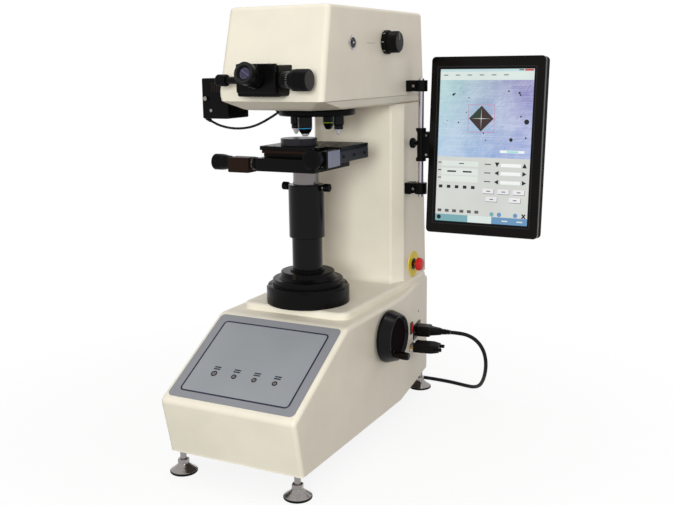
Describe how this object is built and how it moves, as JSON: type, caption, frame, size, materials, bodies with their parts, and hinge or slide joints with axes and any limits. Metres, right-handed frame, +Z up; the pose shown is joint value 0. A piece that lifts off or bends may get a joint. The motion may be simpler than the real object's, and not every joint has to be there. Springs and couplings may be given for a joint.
{
  "type": "vickers microhardness tester",
  "caption": "Bench hardness tester: wedge base, tall column, overhung head with objective turret and eyepiece, micrometer stage on a handwheel lift, and a tilting display at its side.",
  "frame": {"origin": "on the table top that the feet stand on, straight below the axis of the elevating screw", "axes": "+Z up along the elevating screw, -Y towards the operator, +X to the operator's right"},
  "size_m": [0.4874, 0.6907, 0.712],
  "materials": {
    "cream_paint": "semi-gloss cream enamel",
    "grey_sheet": "printed satin sheet",
    "lamp_lens": "clear lens, unlit",
    "black_enamel": "gloss black enamel",
    "black_anodised": "black anodised",
    "machined_steel": "ground",
    "polished_steel": "polished",
    "brass": "turned",
    "cast_iron": "machined casting",
    "black_plastic": "moulded",
    "gloss_black_plastic": "moulded, shiny",
    "red_plastic": "moulded",
    "yellow_plastic": "moulded",
    "screen_glass": "display behind glass",
    "cable_sheath": "PVC sheath",
    "electronics": "assembled boards"
  },
  "bodies": {
    "frame": {"base_housing": "cream_paint", "bottom_plate": "cast_iron", "column_housing": "cream_paint", "arm_casting": "cream_paint", "head_cover": "cream_paint", "rear_cover": "cream_paint", "panel_overlay": "grey_sheet", "indicator_lamps": "lamp_lens", "column_flange": "black_enamel", "eyepiece_housing": "black_enamel", "eyepiece_tube": "black_anodised", "lamp_housing": "black_enamel", "lamp_lead": "cable_sheath", "rear_sockets": "black_plastic", "power_plug": "black_plastic", "power_lead": "cable_sheath", "power_coil": "cable_sheath", "mains_plug": "black_plastic", "data_plug": "black_plastic", "stop_base": "yellow_plastic", "rod_clamps": "black_anodised", "display_rod": "polished_steel", "electronics": "electronics"},
    "lift": {"upper_sleeve": "black_enamel", "elevating_screw": "polished_steel", "stage_base": "machined_steel", "x_drive_housing": "machined_steel"},
    "sleeve_screw_left": {"sleeve_screw_left": "polished_steel"},
    "sleeve_screw_right": {"sleeve_screw_right": "polished_steel"},
    "cross_slide": {"x_slide": "machined_steel"},
    "table": {"stage_top": "machined_steel", "anvil": "polished_steel"},
    "x_knob": {"x_knob": "machined_steel"},
    "y_knob": {"y_knob": "machined_steel"},
    "lift_nut": {"nut_gear": "brass"},
    "wheel": {"handwheel": "black_enamel", "wheel_shaft": "machined_steel"},
    "grip": {"crank_grip": "gloss_black_plastic"},
    "turret": {"turret_disc": "black_anodised", "objective_long": "polished_steel", "objective_short": "polished_steel", "indenters": "black_anodised"},
    "load_selector": {"load_selector": "black_plastic"},
    "loading_lever": {"loading_lever": "machined_steel"},
    "eyecup": {"eyecup": "black_plastic"},
    "measuring_drum": {"measuring_drum": "black_anodised"},
    "reticle_knob": {"reticle_knob": "black_anodised"},
    "lamp_knob": {"lamp_knob": "polished_steel"},
    "rocker": {"power_rocker": "red_plastic"},
    "stop_button": {"stop_button": "red_plastic"},
    "display_slider": {"display_slider": "black_anodised"},
    "slider_knob": {"slider_knob": "black_plastic"},
    "display_bracket": {"display_bracket": "black_anodised"},
    "display": {"display_back": "gloss_black_plastic", "display_bezel": "gloss_black_plastic", "display_screen": "screen_glass"},
    "foot_front_right": {"foot_front_right": "polished_steel"},
    "foot_front_left": {"foot_front_left": "polished_steel"},
    "foot_rear_right": {"foot_rear_right": "polished_steel"},
    "foot_rear_left": {"foot_rear_left": "polished_steel"}
  },
  "joints": [
    {"name": "wheel_turn", "type": "hinge", "parent": "frame", "child": "wheel", "pos_m": [0.12, 0.0515, 0.1743], "axis": [-1, 0, 0], "range_deg": [-9363, 453]},
    {"name": "lift_slide", "type": "slide", "parent": "frame", "child": "lift", "axis": [0, 0, 1], "range_m": [-0.052, 0.0025]},
    {"name": "nut_turn", "type": "hinge", "parent": "frame", "child": "lift_nut", "pos_m": [0, 0, 0.1743], "axis": [0, 0, 1], "range_deg": [-151, 3121]},
    {"name": "grip_turn", "type": "hinge", "parent": "wheel", "child": "grip", "pos_m": [0.15, 0.028, 0.1515], "axis": [1, 0, 0], "continuous": true},
    {"name": "sleeve_screw_left_turn", "type": "hinge", "parent": "lift", "child": "sleeve_screw_left", "pos_m": [-0.039, 0, 0.4275], "axis": [-1, 0, 0], "range_deg": [0, 180]},
    {"name": "sleeve_screw_right_turn", "type": "hinge", "parent": "lift", "child": "sleeve_screw_right", "pos_m": [0.039, 0, 0.4275], "axis": [1, 0, 0], "range_deg": [0, 180]},
    {"name": "x_knob_turn", "type": "hinge", "parent": "lift", "child": "x_knob", "pos_m": [-0.13, -0.0465, 0.468], "axis": [1, 0, 0], "range_deg": [-9003, 9003]},
    {"name": "x_travel", "type": "slide", "parent": "lift", "child": "cross_slide", "axis": [1, 0, 0], "range_m": [-0.0125, 0.0125]},
    {"name": "y_knob_turn", "type": "hinge", "parent": "cross_slide", "child": "y_knob", "pos_m": [0.0563, -0.08, 0.4818], "axis": [0, 1, 0], "range_deg": [-1803, 16203]},
    {"name": "y_travel", "type": "slide", "parent": "cross_slide", "child": "table", "axis": [0, 1, 0], "range_m": [-0.0025, 0.0225]},
    {"name": "turret_turn", "type": "hinge", "parent": "frame", "child": "turret", "pos_m": [0, 0.0402, 0.548], "axis": [0, 0, 1], "range_deg": [-90, 180]},
    {"name": "load_selector_turn", "type": "hinge", "parent": "frame", "child": "load_selector", "pos_m": [0.098, 0.1165, 0.6587], "axis": [1, 0, 0], "range_deg": [0, 315]},
    {"name": "lever_tilt", "type": "hinge", "parent": "frame", "child": "loading_lever", "pos_m": [0, 0.15, 0.612], "axis": [1, 0, 0], "range_deg": [0, 1.5]},
    {"name": "eyecup_turn", "type": "hinge", "parent": "frame", "child": "eyecup", "pos_m": [0, -0.16837, 0.6109], "axis": [0, -0.9724, 0.2334], "range_deg": [-120, 120]},
    {"name": "measuring_drum_turn", "type": "hinge", "parent": "frame", "child": "measuring_drum", "pos_m": [0.06, -0.135, 0.602], "axis": [1, 0, 0], "range_deg": [-1800, 1800]},
    {"name": "reticle_knob_turn", "type": "hinge", "parent": "frame", "child": "reticle_knob", "pos_m": [-0.065, -0.135, 0.602], "axis": [-1, 0, 0], "range_deg": [-1800, 1800]},
    {"name": "lamp_knob_turn", "type": "hinge", "parent": "frame", "child": "lamp_knob", "pos_m": [-0.15, -0.048, 0.5724], "axis": [-1, 0, 0], "range_deg": [0, 270]},
    {"name": "rocker_tilt", "type": "hinge", "parent": "frame", "child": "rocker", "pos_m": [0.10818, 0.18843, 0.1504], "axis": [-0.1463, 0.9892, 0], "range_deg": [-14, 0]},
    {"name": "stop_press", "type": "slide", "parent": "frame", "child": "stop_button", "axis": [-1, 0, 0], "range_m": [0, 0.0035], "stiffness_N_per_m": 900, "springref_m": -0.003},
    {"name": "display_height", "type": "slide", "parent": "frame", "child": "display_slider", "axis": [0, 0, 1], "range_m": [-0.036, 0.06]},
    {"name": "slider_knob_turn", "type": "hinge", "parent": "display_slider", "child": "slider_knob", "pos_m": [0.1, 0.211, 0.485], "axis": [-1, 0, 0], "range_deg": [0, 180]},
    {"name": "display_swivel", "type": "hinge", "parent": "display_slider", "child": "display_bracket", "pos_m": [0.116, 0.211, 0.4835], "axis": [0, 0, 1], "range_deg": [-45, 30]},
    {"name": "display_tilt", "type": "hinge", "parent": "display_bracket", "child": "display", "pos_m": [0.137, 0.21, 0.4835], "axis": [1, 0, 0], "range_deg": [-10, 15]},
    {"name": "foot_front_right_height", "type": "slide", "parent": "frame", "child": "foot_front_right", "axis": [0, 0, -1], "range_m": [0, 0.012]},
    {"name": "foot_front_left_height", "type": "slide", "parent": "frame", "child": "foot_front_left", "axis": [0, 0, -1], "range_m": [0, 0.012]},
    {"name": "foot_rear_right_height", "type": "slide", "parent": "frame", "child": "foot_rear_right", "axis": [0, 0, -1], "range_m": [0, 0.012]},
    {"name": "foot_rear_left_height", "type": "slide", "parent": "frame", "child": "foot_rear_left", "axis": [0, 0, -1], "range_m": [0, 0.012]}
  ],
  "couplings": [
    {"joint": "wheel_turn", "follows": "lift_slide", "rad_per_m": 3141.6},
    {"joint": "nut_turn", "follows": "lift_slide", "rad_per_m": -1047.2},
    {"joint": "x_knob_turn", "follows": "x_travel", "rad_per_m": 12566},
    {"joint": "y_knob_turn", "follows": "y_travel", "rad_per_m": 12566}
  ]
}
